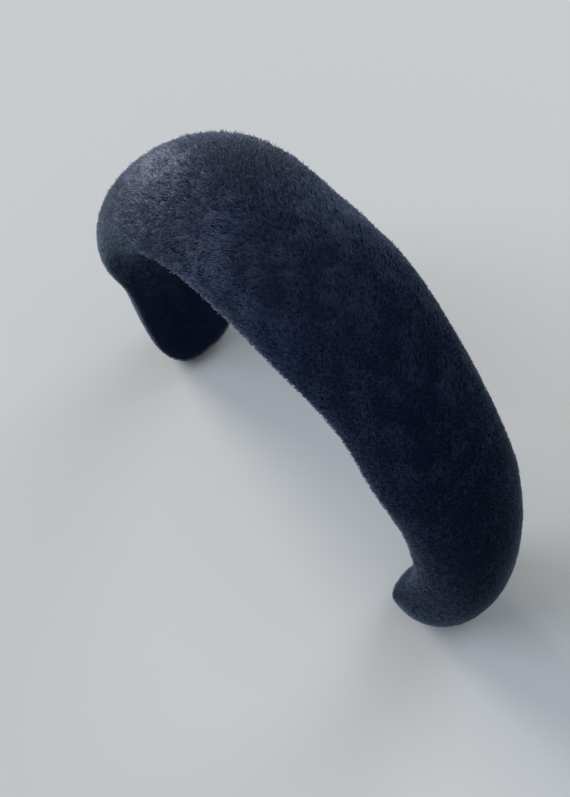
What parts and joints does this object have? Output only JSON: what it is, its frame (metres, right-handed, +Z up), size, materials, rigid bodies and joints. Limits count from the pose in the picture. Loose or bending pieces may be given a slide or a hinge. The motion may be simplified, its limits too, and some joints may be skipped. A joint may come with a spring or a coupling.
{
  "type": "padded headband",
  "caption": "Thick padded headband covered in short-pile navy faux fur, widest over the crown and open at the back, with blunt rounded ends.",
  "frame": {"origin": "centre of the bounding box's base, midway between the two ends on the surface the band stands on", "axes": "+Z up from the ends to the crown, +X to the wearer's left, -Y to the wearer's front"},
  "size_m": [0.2186, 0.064, 0.1628],
  "materials": {
    "navy_fur": "dense short pile, matt with a soft greyish sheen"
  },
  "bodies": {
    "root": {"padded_band": "navy_fur"}
  },
  "joints": []
}
